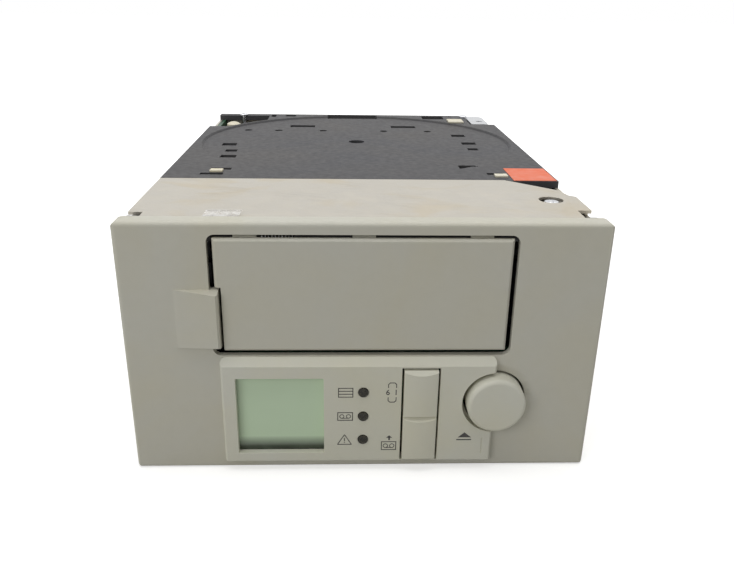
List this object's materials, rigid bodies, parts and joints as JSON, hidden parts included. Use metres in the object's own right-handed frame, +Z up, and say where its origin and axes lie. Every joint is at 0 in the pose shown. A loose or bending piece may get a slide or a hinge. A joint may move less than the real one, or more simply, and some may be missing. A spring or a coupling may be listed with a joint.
{
  "type": "tape autoloader",
  "caption": "Internal tape autoloader for a full-height drive bay: cartridge magazine on a turning carousel, elevator, tape drive, door and front keys.",
  "frame": {"origin": "middle of the footprint of the whole unit, at the bezel's bottom edge", "axes": "+X to the right seen from the front, +Y from the bezel towards the rear connectors, +Z up"},
  "size_m": [0.149, 0.216, 0.085],
  "materials": {
    "bezel_plastic": "fine spark-eroded texture, warm light grey",
    "key_plastic": "fine spark-eroded texture, slightly lighter grey",
    "dark_moulding": "matt dark grey moulding",
    "black_plastic": "matt black moulding",
    "zinc_steel": "zinc plated sheet with faint stains",
    "bright_steel": "ground and bright",
    "cast_alloy": "turned and diamond cut",
    "natural_nylon": "natural nylon, satin",
    "board_green": "solder mask over glass fibre",
    "display_glass": "reflective green liquid crystal",
    "lens_dark": "smoked lens",
    "isolator_rubber": "soft black rubber",
    "label_orange": "fluorescent paper",
    "spring_brass": "bright springy strip"
  },
  "bodies": {
    "chassis": {"bezel": "bezel_plastic", "control_panel": "bezel_plastic", "lcd_frame": "black_plastic", "lcd_glass": "display_glass", "indicator_lenses": "lens_dark", "panel_board": "board_green", "switch_bodies": "black_plastic", "door_hinge_pin": "bright_steel", "door_spring": "bright_steel", "base_pan": "zinc_steel", "left_side_plate": "zinc_steel", "right_side_plate": "zinc_steel", "rear_panel": "zinc_steel", "front_cover_plate": "zinc_steel", "rear_cover": "dark_moulding", "cover_clips": "natural_nylon", "spare_label": "label_orange", "cover_screws": "bright_steel", "bezel_clips": "black_plastic", "grounding_finger": "spring_brass", "left_tower": "dark_moulding", "right_tower": "dark_moulding", "mid_deck": "zinc_steel", "carousel_spindle": "bright_steel", "spindle_clip": "bright_steel", "carousel_motor": "bright_steel", "left_guide_rod": "bright_steel", "right_guide_rod": "bright_steel", "elevator_motor": "bright_steel", "drive_frame": "zinc_steel", "drive_front": "black_plastic", "drive_lid": "zinc_steel", "drive_board": "board_green", "drum_base": "cast_alloy", "drive_isolators": "isolator_rubber", "rear_board": "board_green", "side_board": "board_green", "idler_cap": "natural_nylon", "data_connector": "black_plastic", "power_connector": "natural_nylon", "jumper_block": "black_plastic"},
    "door": {"magazine_door": "bezel_plastic"},
    "select_key": {"select_button": "key_plastic", "select_plunger": "natural_nylon"},
    "load_key": {"load_button": "key_plastic", "load_plunger": "natural_nylon"},
    "eject_key": {"eject_button": "key_plastic", "eject_plunger": "natural_nylon"},
    "carousel": {"turntable": "dark_moulding", "left_cage_wall": "dark_moulding", "right_cage_wall": "dark_moulding"},
    "pinion": {"carousel_pinion": "natural_nylon"},
    "elevator": {"elevator_carriage": "dark_moulding"},
    "gripper_bar": {"gripper": "natural_nylon"},
    "screw": {"lead_screw": "bright_steel"},
    "drum": {"head_drum": "cast_alloy"},
    "supply_reel": {"supply_hub": "natural_nylon"},
    "takeup_reel": {"takeup_hub": "natural_nylon"}
  },
  "joints": [
    {"name": "door_hinge", "type": "hinge", "parent": "chassis", "child": "door", "pos_m": [0, -0.0998, 0.0792], "axis": [1, 0, 0], "range_deg": [0, 88], "stiffness_Nm_per_rad": 0.004, "springref_deg": -17.19},
    {"name": "select_press", "type": "slide", "parent": "chassis", "child": "select_key", "axis": [0, 1, 0], "range_m": [0, 0.0008], "stiffness_N_per_m": 300},
    {"name": "load_press", "type": "slide", "parent": "chassis", "child": "load_key", "axis": [0, 1, 0], "range_m": [0, 0.0008], "stiffness_N_per_m": 300},
    {"name": "eject_press", "type": "slide", "parent": "chassis", "child": "eject_key", "axis": [0, 1, 0], "range_m": [0, 0.0015], "stiffness_N_per_m": 300},
    {"name": "carousel_turn", "type": "hinge", "parent": "chassis", "child": "carousel", "pos_m": [0, 0.032, 0.043], "axis": [0, 0, 1], "range_deg": [0, 180]},
    {"name": "pinion_spin", "type": "hinge", "parent": "chassis", "child": "pinion", "pos_m": [0.06235, 0.068, 0.043], "axis": [0, 0, 1], "continuous": true},
    {"name": "elevator_lift", "type": "slide", "parent": "chassis", "child": "elevator", "axis": [0, 0, -1], "range_m": [-0.048, 0]},
    {"name": "screw_spin", "type": "hinge", "parent": "chassis", "child": "screw", "pos_m": [-0.0585, -0.057, 0.04], "axis": [0, 0, 1], "continuous": true},
    {"name": "gripper_slide", "type": "slide", "parent": "elevator", "child": "gripper_bar", "axis": [0, 1, 0], "range_m": [0, 0.02]},
    {"name": "drum_spin", "type": "hinge", "parent": "chassis", "child": "drum", "pos_m": [0, 0.047, 0.0082], "axis": [0, -0.0872, 0.9962], "continuous": true},
    {"name": "supply_spin", "type": "hinge", "parent": "chassis", "child": "supply_reel", "pos_m": [-0.0146, 0.007, 0.0092], "axis": [0, 0, 1], "continuous": true},
    {"name": "takeup_spin", "type": "hinge", "parent": "chassis", "child": "takeup_reel", "pos_m": [0.0146, 0.007, 0.0092], "axis": [0, 0, 1], "continuous": true}
  ],
  "couplings": [
    {"joint": "pinion_spin", "follows": "carousel_turn", "ratio": -11},
    {"joint": "screw_spin", "follows": "elevator_lift", "rad_per_m": 1570.8}
  ]
}
